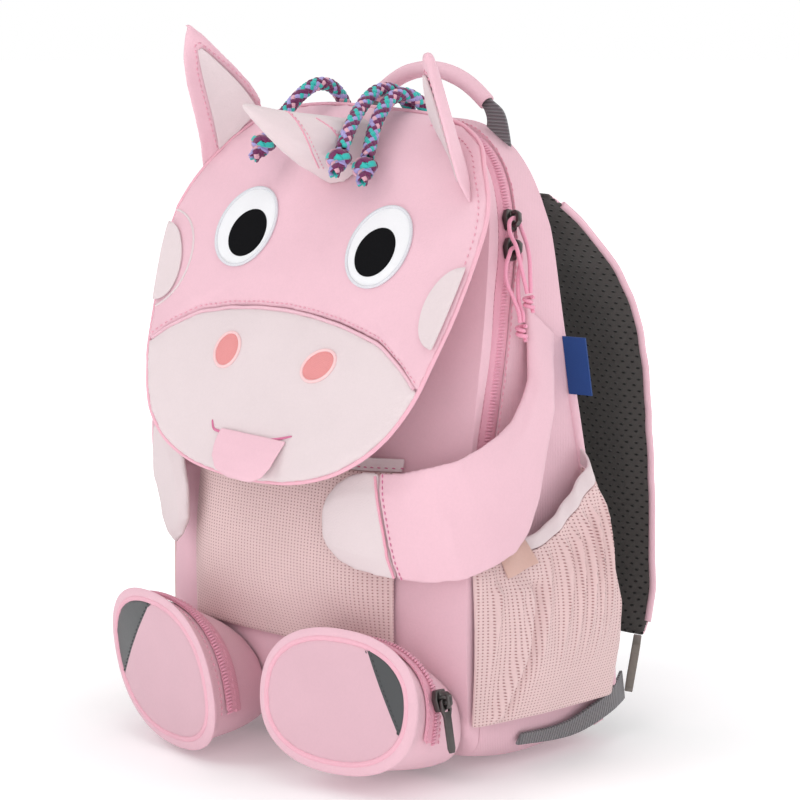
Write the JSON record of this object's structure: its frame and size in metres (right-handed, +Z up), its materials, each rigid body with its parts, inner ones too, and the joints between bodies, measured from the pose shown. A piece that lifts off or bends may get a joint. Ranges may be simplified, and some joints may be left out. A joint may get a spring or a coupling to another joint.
{
  "type": "kids backpack",
  "caption": "Child's backpack shaped as a horned pony, with a head flap over the front, padded arms, drum feet with zips, net pockets, padded shoulder straps and a grab handle.",
  "frame": {"origin": "on the floor under the main compartment, on the flat middle of its base", "axes": "+Z up, the face towards -Y, +X to the viewer's right when it is seen from the front"},
  "size_m": [0.2446, 0.2108, 0.3447],
  "materials": {
    "pink_cloth": "matt woven cloth",
    "zip_pink": "woven tape with a nylon coil",
    "pale_cloth": "matt woven cloth",
    "pocket_net": "fine net",
    "white_felt": "embroidered",
    "back_mesh": "padded air mesh",
    "webbing": "ribbed webbing",
    "zip_metal": "dark plated",
    "buckle_plastic": "moulded",
    "label_weave": "woven",
    "mane_cord": "braided in four colours"
  },
  "bodies": {
    "bag": {"front_shell": "pink_cloth", "rear_gusset": "pink_cloth", "main_zip": "zip_pink", "back_panel": "back_mesh", "forehead": "pink_cloth", "muzzle": "pale_cloth", "eye_left": "white_felt", "eye_right": "white_felt", "cheek_left": "pale_cloth", "cheek_right": "pale_cloth", "tongue": "pink_cloth", "horn": "pale_cloth", "ear_left": "pink_cloth", "ear_lining_left": "pale_cloth", "ear_right": "pink_cloth", "ear_lining_right": "pale_cloth", "mane_cord_left": "mane_cord", "mane_knot_left": "mane_cord", "mane_cord_middle": "mane_cord", "mane_knot_middle": "mane_cord", "mane_cord_right": "mane_cord", "mane_knot_right": "mane_cord", "front_pocket": "pocket_net", "front_pocket_hem": "pale_cloth", "side_pocket_left": "pocket_net", "side_hem_left": "pale_cloth", "side_pocket_right": "pocket_net", "side_hem_right": "pale_cloth", "arm_right": "pink_cloth", "hand_right": "pale_cloth", "arm_left": "pink_cloth", "hand_left": "pale_cloth", "pocket_patch": "pale_cloth", "foot_sole_left": "pink_cloth", "foot_side_left": "pink_cloth", "foot_zip_left": "zip_pink", "foot_sole_right": "pink_cloth", "foot_side_right": "pink_cloth", "foot_zip_right": "zip_pink", "foot_slider_left": "zip_metal", "foot_slider_right": "zip_metal", "main_slider_1": "zip_metal", "pull_cord_1": "pink_cloth", "pull_knot_1": "pink_cloth", "main_slider_2": "zip_metal", "pull_cord_2": "pink_cloth", "pull_knot_2": "pink_cloth", "handle_web": "webbing", "handle_grip": "pink_cloth", "strap_left": "pink_cloth", "lower_web_left": "webbing", "buckle_left": "buckle_plastic", "strap_right": "pink_cloth", "lower_web_right": "webbing", "buckle_right": "buckle_plastic", "label": "label_weave"},
    "pull_left": {"foot_pull_left": "zip_metal"},
    "pull_right": {"foot_pull_right": "zip_metal"}
  },
  "joints": [
    {"name": "pull_left_swing", "type": "hinge", "parent": "bag", "child": "pull_left", "pos_m": [-0.10622, -0.089, 0.04496], "axis": [0.0084, 0.9999, 0.0085], "range_deg": [0, 150]},
    {"name": "pull_right_swing", "type": "hinge", "parent": "bag", "child": "pull_right", "pos_m": [0.10622, -0.08757, 0.04819], "axis": [0.0933, -0.9944, 0.0507], "range_deg": [0, 150]}
  ]
}
